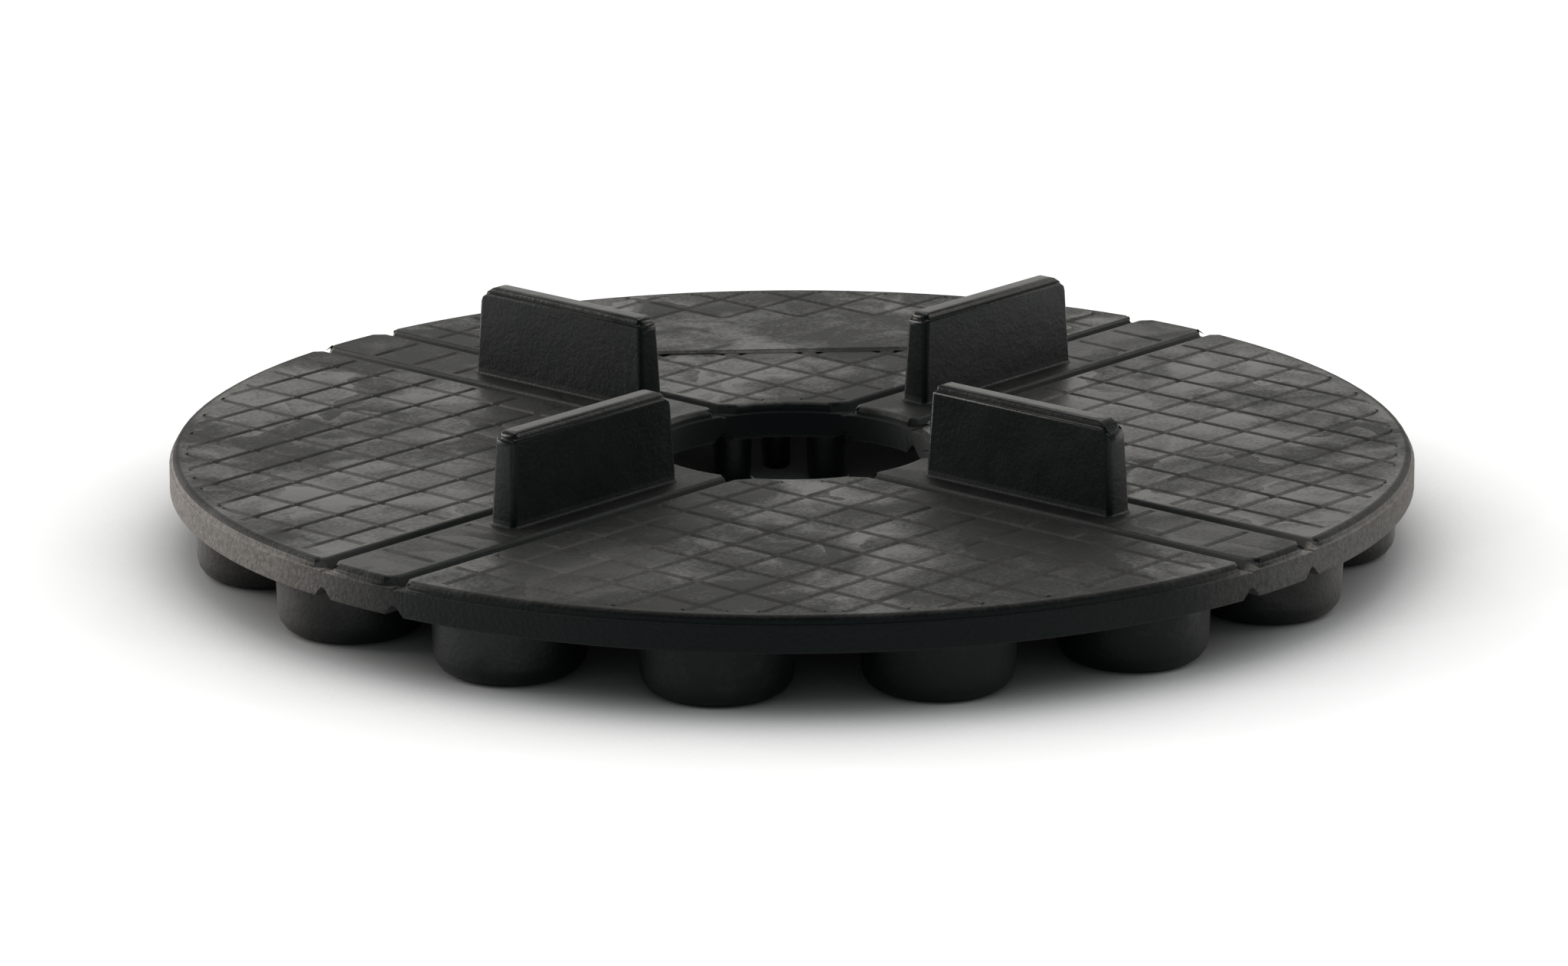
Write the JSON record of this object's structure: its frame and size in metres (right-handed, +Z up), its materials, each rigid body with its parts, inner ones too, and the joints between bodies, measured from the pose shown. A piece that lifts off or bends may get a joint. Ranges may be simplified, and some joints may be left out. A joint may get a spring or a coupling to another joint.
{
  "type": "paving slab support pad",
  "caption": "Round moulded rubber pad on feet that carries the corners of paving slabs, with upright fins that keep the joints open and break lines for cutting it into sectors.",
  "frame": {"origin": "centre of the disc on the ground, at the underside of the feet", "axes": "+Z up along the disc's axis, +X and +Y along two neighbouring fins, with the blank marking field between them"},
  "size_m": [0.126, 0.126, 0.0195],
  "materials": {
    "moulded_rubber": "matte moulded"
  },
  "bodies": {
    "root": {"support_pad": "moulded_rubber"}
  },
  "joints": []
}
